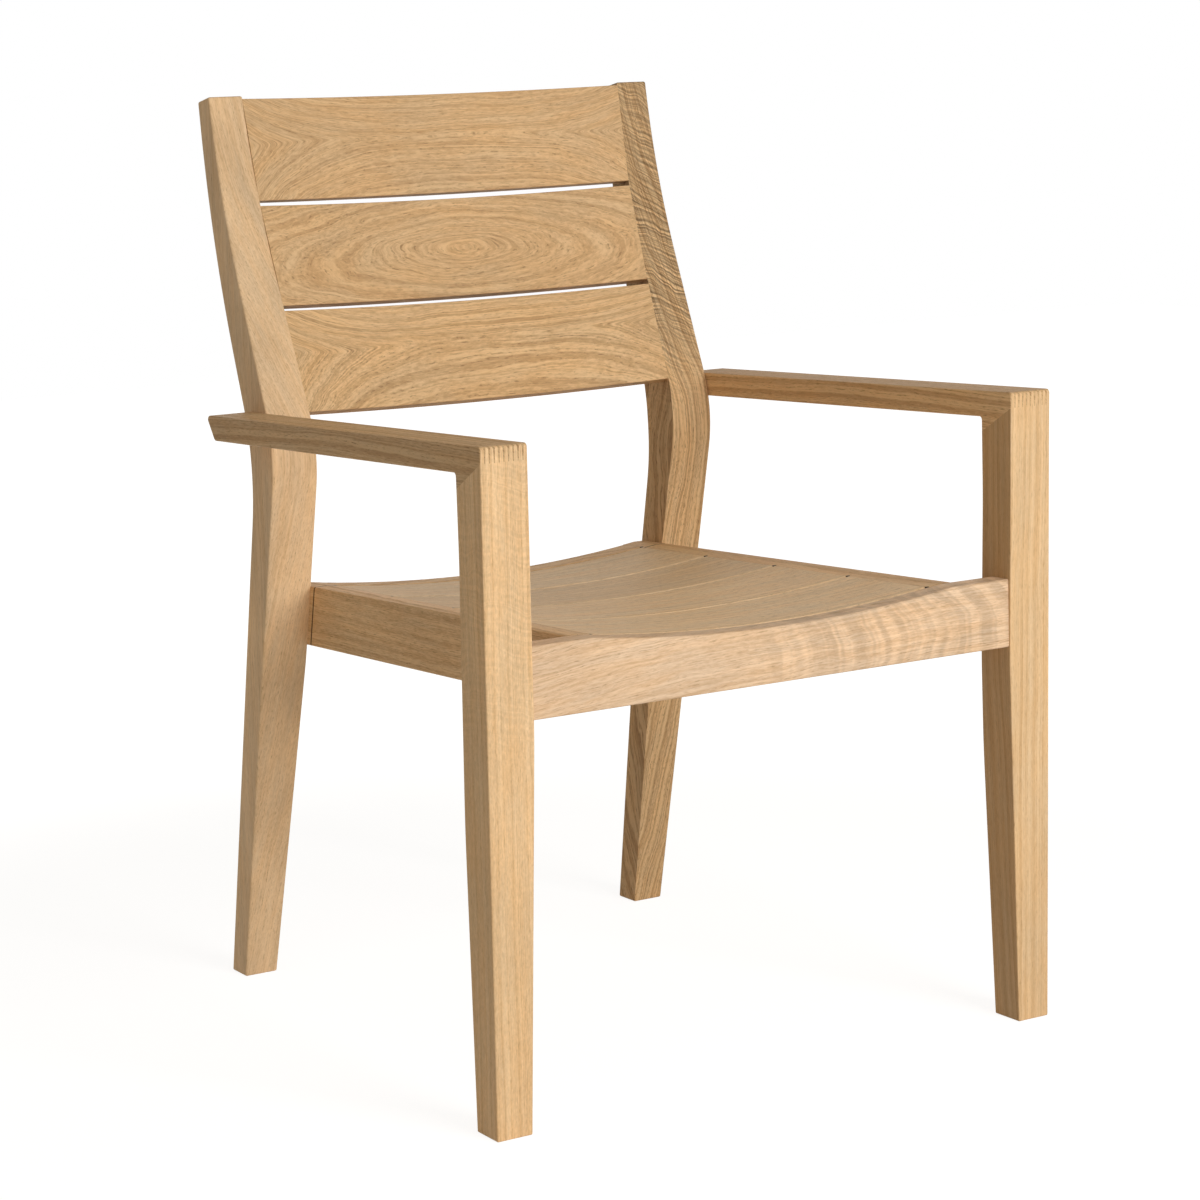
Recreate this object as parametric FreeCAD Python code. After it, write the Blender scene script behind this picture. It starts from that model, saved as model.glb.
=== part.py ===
"""Wooden armchair with a slatted, dished seat and a bowed slat back, in millimetres.

X runs to the right of someone who faces the chair, Y runs from front to back and Z runs up.
The origin is on the floor, under the middle of the chair. Every piece is drawn with Y measured
from the front of the legs, and is moved back to the origin when it is written.
"""

import FreeCAD, Part
import math
import os

from FreeCAD import Vector

# ---- whole chair ----
FRAME_WIDTH = 518.0         # between the inner faces of the two front legs
FLOOR_DEPTH = 644.4         # from the front of the arms to the back of the rear feet
BACK_HEIGHT = 904.0         # top of the rear posts
EDGE_RADIUS = 1.5           # softened long edges of the frame
BEND_RADIUS = 600.0         # blend where a straight face starts to taper
TAPER_DROP = 14.0           # tapers start this far below the seat frame

# ---- front legs and arms ----
LEG_WIDTH = 46.2            # across the leg and the arm, along X
LEG_DEPTH = 43.0            # front to back, just under the arm
LEG_RAKE = 12.5             # how far the foot stands behind the top
LEG_FOOT_DEPTH = 35.5       # front to back at the floor
LEG_SWELL_DROP = 99.5       # the rear face starts to move back this far below the arm's top
LEG_SWELL_FOOT = 270.0      # height where it runs straight again
LEG_SWELL = 7.0             # how far the rear face moves back between the two
LEG_TAPER = 12.5            # taken off the inner face at the floor
LEG_SPLAY = 2.0             # how far the outer face leans out at the floor
ARM_HEIGHT = 604.5          # top of the arm at its front end
ARM_FALL = 0.0157           # drop of the arm for each millimetre to the rear
ARM_THICKNESS = 24.3
ARM_SETBACK = 9.0           # from the rear of the post to the rear end of the arm
ARM_END_SLANT = 17.0        # how far the arm's underside stops short of its top
ARM_END_RADIUS = 4.0
ELBOW_RADIUS = 3.5          # outer and inner corners where arm and leg meet

# ---- finger joint between leg and arm ----
FINGER_COUNT = 10
FINGER_LENGTH = 24.5        # from root to tip
FINGER_TIP = 0.8            # width of the flat tip

# ---- rear posts ----
POST_WIDTH = 48.5           # across the post at the seat, along X
POST_FOOT_WIDTH = 35.4
POST_TOP_WIDTH = 36.4
POST_TOP_INSET = 1.2        # how far the outer face leans in at the top
POST_TAPER_TOP = 545.0      # the inner face tapers above this height
FOOT_DEPTH = 32.1           # front to back at the floor
KNEE_FRONT_Y = 481.4        # front corner of the knee in the side outline, before it is rounded
KNEE_FRONT_Z = 558.7
KNEE_FRONT_RADIUS = 135.0
KNEE_DEPTH = 46.7           # from there to the rear corner of the knee, along Y
KNEE_FALL = 15.4            # how much lower the rear corner lies
KNEE_REAR_RADIUS = 225.0
SHOULDER_RAKE = 93.8        # from the knee to the shoulder, along Y
SHOULDER_FRONT_DROP = 102.0 # below the top of the post
SHOULDER_FRONT_RADIUS = 820.0
SHOULDER_DEPTH = 27.6
SHOULDER_REAR_DROP = 141.0
SHOULDER_REAR_RADIUS = 1050.0
TOP_RAKE = 16.8             # from the shoulder to the top, along Y
TOP_DEPTH = 26.0            # front to back at the top of the post
TOP_FALL = 4.5              # drop of the post's top from front to rear
POST_EDGE_RADIUS = 2.0

# ---- back slats ----
SLAT_COUNT = 3
SLAT_HEIGHT = 98.0          # rise of one slat from its lower to its upper edge
TOP_SLAT_HEIGHT = 100.5
SLAT_GAP = 5.0
SLAT_TOP_DROP = 3.0         # from the top of the posts to the top slat
SLAT_THICKNESS = 13.0
SLAT_BOW = 11.0             # how far the middle of a slat stands behind its ends
SLAT_CHAMFER = 0.6          # taken off the long edges

# ---- seat ----
SEAT_HEIGHT = 430.5         # rim of the seat, where it meets the front apron
SEAT_TILT = 1.5             # degrees, down to the rear
DISH_DEPTH = 13.2           # depth of the hollow in the middle
APRON_SETBACK = 6.6         # from the front of the arm to the face of the apron
APRON_THICKNESS = 24.0
APRON_HEIGHT = 64.2
RAIL_THICKNESS = 28.0
RAIL_HEIGHT = 61.0
RAIL_LAP = 36.7             # how far a side rail runs on past the front of its post
REAR_RAIL_THICKNESS = 33.5
BOARD_COUNT = 4
BOARD_THICKNESS = 22.0
BOARD_GAP = 2.5
SEAT_EDGE_RADIUS = 2.0

# ---- dowels ----
DOWEL_FIT = 0.1             # how much wider each hole is than its dowel
DOWEL_END_ROOM = 1.0        # free length left at the bottom of each hole
FRAME_DOWEL = 10.0          # diameter in the apron and the rails
SMALL_DOWEL = 8.0           # diameter in the seat boards and the arms
SLAT_DOWEL = 6.0            # diameter in the thin slats
APRON_DOWEL_REACH = 24.0    # how deep each dowel sits in each piece
RAIL_DOWEL_IN_APRON = 15.0
RAIL_DOWEL_IN_RAIL = 30.0
POST_DOWEL_IN_RAIL = 12.0
POST_DOWEL_IN_POST = 26.0
REAR_RAIL_DOWEL_IN_SIDE = 12.0
REAR_RAIL_DOWEL_IN_REAR = 28.0
BOARD_DOWEL_IN_RAIL = 15.0
BOARD_DOWEL_IN_BOARD = 22.0
SLAT_DOWEL_IN_POST = 18.0
SLAT_DOWEL_IN_SLAT = 12.0
ARM_DOWEL_IN_ARM = 24.0
ARM_DOWEL_IN_POST = 24.0
ARM_DOWEL_PITCH = 13.0
# places of two dowels, as shares of the height, depth or length that they hold
FRAME_DOWEL_PLACES = (0.3, 0.7)
RAIL_DOWEL_PLACES = (0.45, 0.8)
BOARD_DOWEL_PLACES = (0.3, 0.7)
SLAT_DOWEL_PLACES = (0.25, 0.75)

# ---- derived sizes ----
HALF_FRAME = FRAME_WIDTH / 2
HALF_RAILS = HALF_FRAME - POST_WIDTH
HALF_SEAT = HALF_RAILS - RAIL_THICKNESS
HALF_DISH = HALF_SEAT + RAIL_THICKNESS / 2
DISH_RADIUS = (HALF_DISH ** 2 + DISH_DEPTH ** 2) / (2 * DISH_DEPTH)
APRON_REAR = APRON_SETBACK + APRON_THICKNESS
FOOT_FRONT = FLOOR_DEPTH - FOOT_DEPTH
SHOULDER_Y = KNEE_FRONT_Y + SHOULDER_RAKE
POST_FRONT = FOOT_FRONT - (FOOT_FRONT - KNEE_FRONT_Y) * SEAT_HEIGHT / KNEE_FRONT_Z
RAIL_LENGTH = POST_FRONT + RAIL_LAP - APRON_REAR
REAR_RAIL_FRONT = RAIL_LENGTH - REAR_RAIL_THICKNESS
BOARD_PITCH = (REAR_RAIL_FRONT - BOARD_GAP) / BOARD_COUNT
BOARD_DEPTH = BOARD_PITCH - BOARD_GAP
RIGHT, LEFT = 1, -1
SIDES = {"left": LEFT, "right": RIGHT}


# ---- drawing helpers ----
def in_side_view(y, z):
    return Vector(0, y, z)


def in_front_view(x, z):
    return Vector(x, 0, z)


def rounded_face(corners, place):
    """Closed flat face through (a, b, radius) corners, where place turns (a, b) into a point.

    Where two roundings want more than the run between them, both get smaller until they fit.
    """
    points = [place(a, b) for a, b, _ in corners]
    runs = [points[(index + 1) % len(points)] - point for index, point in enumerate(points)]
    halves = [(-runs[index - 1]).getAngle(run) / 2 for index, run in enumerate(runs)]
    wanted = [corner[2] / math.tan(half) for corner, half in zip(corners, halves)]
    rooms = []
    for index, run in enumerate(runs):
        both = wanted[index] + wanted[(index + 1) % len(runs)]
        rooms.append(min(1.0, run.Length / both) if both > 0 else 1.0)
    bends = []
    for index, point in enumerate(points):
        to_last, to_next = (-runs[index - 1]).normalize(), Vector(runs[index]).normalize()
        radius = corners[index][2] * min(rooms[index - 1], rooms[index])
        reach = radius / math.tan(halves[index])
        inward = (to_last + to_next).normalize()
        middle = point + inward * (radius / math.sin(halves[index]) - radius)
        bends.append((point + to_last * reach, middle, point + to_next * reach, radius))
    edges = []
    for index, (start, middle, end, radius) in enumerate(bends):
        if radius > 0:
            edges.append(Part.Arc(start, middle, end).toShape())
        following = bends[(index + 1) % len(bends)][0]
        if end.distanceToPoint(following) > 1e-6:
            edges.append(Part.LineSegment(end, following).toShape())
    return Part.Face(Part.Wire(edges))


def face_normal(face, point):
    return face.normalAt(*face.Surface.parameter(point))


def sharp_edges(solid, least_turn=20.0):
    """Edges where two faces of the solid meet at more than least_turn degrees."""
    found = []
    for edge in solid.Edges:
        faces = solid.ancestorsOfType(edge, Part.Face)
        if len(faces) != 2:
            continue
        middle = edge.valueAt((edge.FirstParameter + edge.LastParameter) / 2)
        turn = face_normal(faces[0], middle).getAngle(face_normal(faces[1], middle))
        if math.degrees(turn) > least_turn:
            found.append(edge)
    return found


def runs_across(edge):
    """True for an edge whose two ends differ mostly in X."""
    box = edge.BoundBox
    return box.XLength > max(box.YLength, box.ZLength)


def mirrored(shape):
    return shape.mirror(Vector(0, 0, 0), Vector(1, 0, 0))


def on_side(shape, side):
    """The right-hand shape as it is, or its mirror image for the left."""
    return shape if side == RIGHT else mirrored(shape)


def rod(start, direction, diameter, length):
    return Part.makeCylinder(diameter / 2, length, start, direction)


class Dowel:
    """A dowel across the joint at one point, reaching into a piece on each side of it."""

    def __init__(self, point, direction, diameter, reach_back, reach_on):
        self.point = point
        self.direction = direction
        self.diameter = diameter
        self.reach_back = reach_back
        self.reach_on = reach_on

    def solid(self):
        start = self.point - self.direction * self.reach_back
        return rod(start, self.direction, self.diameter, self.reach_back + self.reach_on)

    def hole(self):
        back = self.reach_back + DOWEL_END_ROOM
        length = back + self.reach_on + DOWEL_END_ROOM
        return rod(self.point - self.direction * back, self.direction, self.diameter + DOWEL_FIT, length)


def side_dowels(spots, side, diameter, reach_inward, reach_outward):
    """Dowels along X at each spot, for the side of the chair that the spots are on."""
    return [Dowel(spot, Vector(side, 0, 0), diameter, reach_inward, reach_outward) for spot in spots]


def drilled(solid, dowels):
    """The solid with the holes of the given dowels cut into it."""
    for dowel in dowels:
        solid = solid.cut(dowel.hole())
    return solid


# ---- seat surface ----
def on_seat(x, back, drop):
    """Point at this X, this far behind the apron along the seat and this far under its rim."""
    tilt = math.radians(SEAT_TILT)
    y = APRON_REAR + back * math.cos(tilt) - drop * math.sin(tilt)
    z = SEAT_HEIGHT - back * math.sin(tilt) - drop * math.cos(tilt)
    return Vector(x, y, z)


def laid_on_seat(shape):
    """Tilt a shape drawn level behind the origin, its rim at Z zero, to its place in the seat."""
    placed = shape.copy()
    placed.rotate(Vector(0, 0, 0), Vector(1, 0, 0), -SEAT_TILT)
    placed.translate(on_seat(0, 0, 0))
    return placed


def dish_drop(x):
    """How far the dished seat lies below its rim at this X."""
    return math.sqrt(DISH_RADIUS ** 2 - x ** 2) - (DISH_RADIUS - DISH_DEPTH)


def dish_arc(x_from, x_to, lower=0.0):
    """Arc of the dished surface between two X places, lowered by a thickness."""
    points = [Vector(x, 0, -dish_drop(x) - lower) for x in (x_from, (x_from + x_to) / 2, x_to)]
    return Part.Arc(*points).toShape()


def dished_face(corners, arc):
    """Cross-section bounded by straight lines through (x, z) corners and closed by an arc."""
    points = [Vector(x, 0, z) for x, z in corners]
    edges = [Part.LineSegment(a, b).toShape() for a, b in zip(points, points[1:])]
    return Part.Face(Part.Wire(edges + [arc]))


def loop_face(pieces):
    """Face bounded by arcs and by the straight lines that close the gaps between them."""
    edges = []
    for index, piece in enumerate(pieces):
        edges.append(piece)
        end = piece.lastVertex(True).Point
        following = pieces[(index + 1) % len(pieces)].firstVertex(True).Point
        if end.distanceToPoint(following) > 1e-6:
            edges.append(Part.LineSegment(end, following).toShape())
    return Part.Face(Part.Wire(edges))


# ---- rear posts ----
def post_side_face():
    """Side outline of a rear post: it leans forward to the knee and back to the top."""
    return rounded_face([
        (FOOT_FRONT, 0, 0),
        (KNEE_FRONT_Y, KNEE_FRONT_Z, KNEE_FRONT_RADIUS),
        (SHOULDER_Y, BACK_HEIGHT - SHOULDER_FRONT_DROP, SHOULDER_FRONT_RADIUS),
        (SHOULDER_Y + TOP_RAKE, BACK_HEIGHT, 0),
        (SHOULDER_Y + TOP_RAKE + TOP_DEPTH, BACK_HEIGHT - TOP_FALL, 0),
        (SHOULDER_Y + SHOULDER_DEPTH, BACK_HEIGHT - SHOULDER_REAR_DROP, SHOULDER_REAR_RADIUS),
        (KNEE_FRONT_Y + KNEE_DEPTH, KNEE_FRONT_Z - KNEE_FALL, KNEE_REAR_RADIUS),
        (FLOOR_DEPTH, 0, 0),
    ], in_side_view)


def post_span(z):
    """Front and rear Y of the post's side outline at a height."""
    level = Part.makeLine(Vector(0, 0, z), Vector(0, 2 * FLOOR_DEPTH, z))
    box = post_side_face().common(level).BoundBox
    return box.YMin, box.YMax


def joins_slats(edge):
    """True for the post's inner front edge, which stays square where the slats lie flush with it."""
    box = edge.BoundBox
    if box.ZLength < max(box.XLength, box.YLength) or box.Center.x > HALF_FRAME - POST_WIDTH / 2:
        return False
    front, rear = post_span(box.Center.z)
    return box.Center.y < (front + rear) / 2


def post_blank():
    """Right-hand post before its dowel holes."""
    side = post_side_face().extrude(Vector(FRAME_WIDTH, 0, 0))
    front = rounded_face([
        (HALF_FRAME - POST_FOOT_WIDTH, 0, 0),
        (HALF_RAILS, on_seat(0, RAIL_LENGTH, RAIL_HEIGHT).z - TAPER_DROP, BEND_RADIUS),
        (HALF_RAILS, POST_TAPER_TOP, BEND_RADIUS),
        (HALF_FRAME - POST_TOP_INSET - POST_TOP_WIDTH, BACK_HEIGHT, 0),
        (HALF_FRAME - POST_TOP_INSET, BACK_HEIGHT, 0),
        (HALF_FRAME, ARM_HEIGHT, BEND_RADIUS),
        (HALF_FRAME, 0, 0),
    ], in_front_view).extrude(Vector(0, 2 * FLOOR_DEPTH, 0))
    post = side.common(front).Solids[0]
    return post.makeFillet(POST_EDGE_RADIUS, [edge for edge in sharp_edges(post) if not joins_slats(edge)])


def between_posts():
    """Room between the inner faces of the two posts, where the slats fit."""
    half_top = HALF_FRAME - POST_TOP_INSET - POST_TOP_WIDTH
    corners = [
        (-HALF_RAILS, SEAT_HEIGHT, 0),
        (HALF_RAILS, SEAT_HEIGHT, 0),
        (HALF_RAILS, POST_TAPER_TOP, BEND_RADIUS),
        (half_top, BACK_HEIGHT, 0),
        (-half_top, BACK_HEIGHT, 0),
        (-HALF_RAILS, POST_TAPER_TOP, BEND_RADIUS),
    ]
    return rounded_face(corners, in_front_view).extrude(Vector(0, 2 * FLOOR_DEPTH, 0))


# ---- back slats ----
def slat_edges(number):
    """Heights of a slat's lower and upper edge; the slats are counted from the top down."""
    heights = [TOP_SLAT_HEIGHT] + [SLAT_HEIGHT] * (SLAT_COUNT - 1)
    top = BACK_HEIGHT - SLAT_TOP_DROP - sum(heights[:number]) - number * SLAT_GAP
    return top - heights[number], top


class SlatFrame:
    """Where one slat stands: on the chord of the posts' front between its two edges."""

    def __init__(self, number):
        low, top = slat_edges(number)
        self.foot = Vector(0, post_span(low)[0], low)
        self.head = Vector(0, post_span(top)[0], top)
        rise = self.head - self.foot
        self.length = rise.Length
        self.up = rise.normalize()
        self.back = Vector(0, self.up.z, -self.up.y)

    def at(self, x, back, up):
        return Vector(x, 0, 0) + self.foot + self.back * back + self.up * up


def slat_arc(frame, back, start, end):
    """Bowed line across the chair, from start to end along X, this far behind the front."""
    half_span = post_inner_x(frame.at(0, 0, frame.length / 2).z)
    radius = (half_span ** 2 + SLAT_BOW ** 2) / (2 * SLAT_BOW) + back
    centre = back + SLAT_BOW - radius
    points = [frame.at(x, centre + math.sqrt(radius ** 2 - x ** 2), 0) for x in (start, 0, end)]
    return Part.Arc(*points).toShape()


def back_slat(number):
    frame = SlatFrame(number)
    front = slat_arc(frame, 0, -HALF_FRAME, HALF_FRAME)
    rear = slat_arc(frame, SLAT_THICKNESS, HALF_FRAME, -HALF_FRAME)
    slat = loop_face([front, rear]).extrude(frame.up * frame.length)
    slat = slat.makeChamfer(SLAT_CHAMFER, [edge for edge in sharp_edges(slat) if runs_across(edge)])
    return slat.common(between_posts()).Solids[0]


def slat_dowels(side):
    """Two dowels at one end of every slat, halfway through its thickness."""
    spots = []
    for number in range(SLAT_COUNT):
        frame = SlatFrame(number)
        for share in SLAT_DOWEL_PLACES:
            spot = frame.at(0, SLAT_THICKNESS / 2, share * frame.length)
            spot.x = side * post_inner_x(spot.z)
            spots.append(spot)
    return side_dowels(spots, side, SLAT_DOWEL, SLAT_DOWEL_IN_SLAT, SLAT_DOWEL_IN_POST)


def post_inner_x(z):
    """X of the post's inner face at a height above the seat."""
    level = Part.makeLine(Vector(0, 1, z), Vector(FRAME_WIDTH, 1, z))
    return between_posts().common(level).BoundBox.XMax


# ---- front legs and arms ----
def arm_top(y):
    return ARM_HEIGHT - ARM_FALL * y


def side_frame():
    """Leg and arm of the right side as one bent blank, before the joint parts them."""
    end_top = post_span(ARM_HEIGHT - ARM_THICKNESS / 2)[1] - ARM_SETBACK
    end_low = end_top - ARM_END_SLANT
    foot_rear = LEG_RAKE + LEG_FOOT_DEPTH
    swell_rear = LEG_DEPTH + LEG_SWELL
    outline = rounded_face([
        (LEG_RAKE, 0, 0),
        (0, ARM_HEIGHT, ELBOW_RADIUS),
        (end_top, arm_top(end_top), ARM_END_RADIUS),
        (end_low, arm_top(end_low) - ARM_THICKNESS, ARM_END_RADIUS),
        (LEG_DEPTH, arm_top(LEG_DEPTH) - ARM_THICKNESS, ELBOW_RADIUS),
        (LEG_DEPTH, ARM_HEIGHT - LEG_SWELL_DROP, 2 * BEND_RADIUS),
        (swell_rear, LEG_SWELL_FOOT, 2 * BEND_RADIUS),
        (foot_rear, 0, 0),
    ], in_side_view)
    side = outline.extrude(Vector(FRAME_WIDTH, 0, 0))
    outer = HALF_FRAME + LEG_WIDTH
    front = rounded_face([
        (HALF_FRAME + LEG_TAPER, 0, 0),
        (HALF_FRAME, SEAT_HEIGHT - APRON_HEIGHT - TAPER_DROP, BEND_RADIUS),
        (HALF_FRAME, ARM_HEIGHT, 0),
        (outer, ARM_HEIGHT, 0),
        (outer, ARM_HEIGHT - 2 * ARM_THICKNESS, BEND_RADIUS),
        (outer + LEG_SPLAY, 0, 0),
    ], in_front_view).extrude(Vector(0, FLOOR_DEPTH, 0))
    blank = side.common(front).Solids[0]
    return blank.makeFillet(EDGE_RADIUS, sharp_edges(blank))


def leg_side_of_joint():
    """All the space on the leg's side of the toothed mitre between leg and arm."""
    outer_corner = Vector(0, 0, ARM_HEIGHT)
    inner_corner = Vector(0, LEG_DEPTH, arm_top(LEG_DEPTH) - ARM_THICKNESS)
    along = (outer_corner - inner_corner).normalize()
    across = Vector(0, along.z, -along.y)
    pitch = LEG_WIDTH / FINGER_COUNT
    slope = (pitch - 2 * FINGER_TIP) / 2
    reach = FINGER_LENGTH / 2
    points = []
    for number in range(FINGER_COUNT):
        x = HALF_FRAME + number * pitch
        points.append((x + FINGER_TIP / 2, -reach))
        points.append((x + FINGER_TIP / 2 + slope, reach))
        points.append((x + FINGER_TIP * 3 / 2 + slope, reach))
        points.append((x + pitch - FINGER_TIP / 2, -reach))
    far = 2 * BACK_HEIGHT
    points = [(0, -reach)] + points + [(2 * FRAME_WIDTH, -reach), (2 * FRAME_WIDTH, -far), (0, -far)]
    outline = [Vector(x, 0, 0) + outer_corner + across * depth - along * far for x, depth in points]
    return Part.Face(Part.makePolygon(outline + outline[:1])).extrude(along * (2 * far))


def arm_dowels(side):
    """Two dowels that hold the arm to the outer face of the post."""
    level = ARM_HEIGHT - ARM_THICKNESS / 2
    front, rear = post_span(level)
    middle = (front + rear - ARM_SETBACK - ARM_END_SLANT / 2) / 2
    places = (middle - ARM_DOWEL_PITCH / 2, middle + ARM_DOWEL_PITCH / 2)
    spots = [Vector(side * HALF_FRAME, y, arm_top(y) - ARM_THICKNESS / 2) for y in places]
    return side_dowels(spots, side, SMALL_DOWEL, ARM_DOWEL_IN_POST, ARM_DOWEL_IN_ARM)


# ---- seat frame ----
def apron_blank():
    """Front apron, with its top edge dished like the seat."""
    corners = [(-HALF_DISH, 0), (-HALF_FRAME, 0), (-HALF_FRAME, -APRON_HEIGHT),
               (HALF_FRAME, -APRON_HEIGHT), (HALF_FRAME, 0), (HALF_DISH, 0)]
    face = dished_face(corners, dish_arc(HALF_DISH, -HALF_DISH))
    apron = face.extrude(Vector(0, APRON_THICKNESS, 0)).translated(Vector(0, APRON_SETBACK, SEAT_HEIGHT))
    return apron.makeFillet(SEAT_EDGE_RADIUS, [edge for edge in sharp_edges(apron) if runs_across(edge)])


def side_rail_blank():
    """Right-hand side rail: its inner top edge follows the hollow of the seat."""
    corners = [(HALF_SEAT, -dish_drop(HALF_SEAT)), (HALF_SEAT, -RAIL_HEIGHT), (HALF_RAILS, -RAIL_HEIGHT),
               (HALF_RAILS, 0), (HALF_DISH, 0)]
    face = dished_face(corners, dish_arc(HALF_DISH, HALF_SEAT))
    face.translate(Vector(0, -RAIL_HEIGHT, 0))
    rail = face.extrude(Vector(0, RAIL_HEIGHT + RAIL_LENGTH, 0))
    outer_edges = [edge for edge in sharp_edges(rail)
                   if edge.BoundBox.YLength > RAIL_THICKNESS and edge.BoundBox.XMin > HALF_DISH]
    rail = laid_on_seat(rail.makeFillet(SEAT_EDGE_RADIUS, outer_edges))
    behind_apron = Part.makeBox(FRAME_WIDTH, FLOOR_DEPTH, BACK_HEIGHT, Vector(0, APRON_REAR, 0))
    return rail.common(behind_apron).Solids[0]


def dished_piece(front, depth, underside):
    """A piece of the seat between the side rails, with its long edges rounded."""
    face = loop_face([dish_arc(-HALF_SEAT, HALF_SEAT), underside])
    face.translate(Vector(0, front, 0))
    piece = face.extrude(Vector(0, depth, 0))
    piece = piece.makeFillet(SEAT_EDGE_RADIUS, [edge for edge in sharp_edges(piece) if runs_across(edge)])
    return laid_on_seat(piece)


def board_front(number):
    """Front edge of a seat board, behind the apron along the seat."""
    return BOARD_GAP + number * BOARD_PITCH


def seat_board(number):
    underside = dish_arc(HALF_SEAT, -HALF_SEAT, BOARD_THICKNESS)
    return dished_piece(board_front(number), BOARD_DEPTH, underside)


def rear_seat_rail():
    """Rail that closes the seat between the posts: dished on top and flat underneath."""
    underside = Part.makeLine(Vector(HALF_SEAT, 0, -RAIL_HEIGHT), Vector(-HALF_SEAT, 0, -RAIL_HEIGHT))
    return dished_piece(REAR_RAIL_FRONT, REAR_RAIL_THICKNESS, underside)


def apron_dowels(side):
    """Two dowels between the apron and one front leg."""
    y = APRON_SETBACK + APRON_THICKNESS / 2
    spots = [Vector(side * HALF_FRAME, y, SEAT_HEIGHT - APRON_HEIGHT * share) for share in FRAME_DOWEL_PLACES]
    return side_dowels(spots, side, FRAME_DOWEL, APRON_DOWEL_REACH, APRON_DOWEL_REACH)


def rail_dowels(side):
    """Two dowels between the apron and the front end of one side rail."""
    levels = [SEAT_HEIGHT - RAIL_HEIGHT * share for share in RAIL_DOWEL_PLACES]
    spots = [Vector(side * HALF_DISH, APRON_REAR, z) for z in levels]
    reach = RAIL_DOWEL_IN_APRON, RAIL_DOWEL_IN_RAIL
    return [Dowel(spot, Vector(0, 1, 0), FRAME_DOWEL, *reach) for spot in spots]


def post_dowels(side):
    """Two dowels between one side rail and its post, where the two overlap."""
    spots = []
    for share in FRAME_DOWEL_PLACES:
        spot = on_seat(side * HALF_RAILS, RAIL_LENGTH, RAIL_HEIGHT * share)
        spot.y = (post_span(spot.z)[0] + spot.y) / 2
        spots.append(spot)
    return side_dowels(spots, side, FRAME_DOWEL, POST_DOWEL_IN_RAIL, POST_DOWEL_IN_POST)


def rear_rail_dowels(side):
    """Two dowels between the rear seat rail and one side rail."""
    back = REAR_RAIL_FRONT + REAR_RAIL_THICKNESS / 2
    spots = [on_seat(side * HALF_SEAT, back, RAIL_HEIGHT * share) for share in RAIL_DOWEL_PLACES]
    return side_dowels(spots, side, FRAME_DOWEL, REAR_RAIL_DOWEL_IN_REAR, REAR_RAIL_DOWEL_IN_SIDE)


def board_dowels(side, number):
    """Two dowels at one end of one seat board."""
    drop = dish_drop(HALF_SEAT) + BOARD_THICKNESS / 2
    backs = [board_front(number) + BOARD_DEPTH * share for share in BOARD_DOWEL_PLACES]
    spots = [on_seat(side * HALF_SEAT, back, drop) for back in backs]
    return side_dowels(spots, side, SMALL_DOWEL, BOARD_DOWEL_IN_BOARD, BOARD_DOWEL_IN_RAIL)


def all_board_dowels(side):
    """The dowels of every seat board at one side."""
    return [dowel for number in range(BOARD_COUNT) for dowel in board_dowels(side, number)]


# ---- the pieces by name ----
def frame_pieces():
    """Legs, arms, posts and side rails, each with its dowel holes."""
    blank = side_frame()
    leg_space = leg_side_of_joint()
    leg, arm = blank.common(leg_space).Solids[0], blank.cut(leg_space).Solids[0]
    post, rail = post_blank(), side_rail_blank()
    pieces = {}
    for name, side in SIDES.items():
        rail_holes = rail_dowels(side) + post_dowels(side) + rear_rail_dowels(side) + all_board_dowels(side)
        post_holes = post_dowels(side) + slat_dowels(side) + arm_dowels(side)
        pieces["front_leg_" + name] = drilled(on_side(leg, side), apron_dowels(side))
        pieces["arm_" + name] = drilled(on_side(arm, side), arm_dowels(side))
        pieces["rear_post_" + name] = drilled(on_side(post, side), post_holes)
        pieces["side_rail_" + name] = drilled(on_side(rail, side), rail_holes)
    return pieces


def seat_pieces():
    """Front apron, seat boards and rear seat rail."""
    apron_holes = [dowel for side in SIDES.values() for dowel in apron_dowels(side) + rail_dowels(side)]
    pieces = {"front_apron": drilled(apron_blank(), apron_holes)}
    for number in range(BOARD_COUNT):
        holes = [dowel for side in SIDES.values() for dowel in board_dowels(side, number)]
        pieces["seat_board_%d" % (number + 1)] = drilled(seat_board(number), holes)
    holes = [dowel for side in SIDES.values() for dowel in rear_rail_dowels(side)]
    pieces["rear_seat_rail"] = drilled(rear_seat_rail(), holes)
    return pieces


def back_pieces():
    """The bowed slats, from the top one down."""
    pieces = {}
    holes = [dowel for side in SIDES.values() for dowel in slat_dowels(side)]
    for number in range(SLAT_COUNT):
        pieces["back_slat_%d" % (number + 1)] = drilled(back_slat(number), holes)
    return pieces


def dowel_groups():
    """Dowels of the same joint share one node, as a group of separate solids."""
    makers = {
        "apron_dowels": apron_dowels,
        "side_rail_dowels": rail_dowels,
        "rear_post_dowels": post_dowels,
        "rear_rail_dowels": rear_rail_dowels,
        "back_slat_dowels": slat_dowels,
        "arm_dowels": arm_dowels,
        "seat_board_dowels": all_board_dowels,
    }
    groups = {}
    for name, maker in makers.items():
        dowels = [dowel for side in SIDES.values() for dowel in maker(side)]
        groups[name] = Part.makeCompound([dowel.solid() for dowel in dowels])
    return groups


def main():
    os.makedirs("parts", exist_ok=True)
    for pieces in (frame_pieces(), seat_pieces(), back_pieces(), dowel_groups()):
        for name, shape in pieces.items():
            shape.translated(Vector(0, -FLOOR_DEPTH / 2, 0)).exportStep("parts/%s.step" % name)


main()
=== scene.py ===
"""Looks of a wooden armchair: one light hardwood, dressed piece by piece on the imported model.

The chair faces -Y, X runs to the right of someone who looks at its front, Z is up, and lengths
are in metres. "Left" in a name is the side of lower X.
"""

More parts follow.
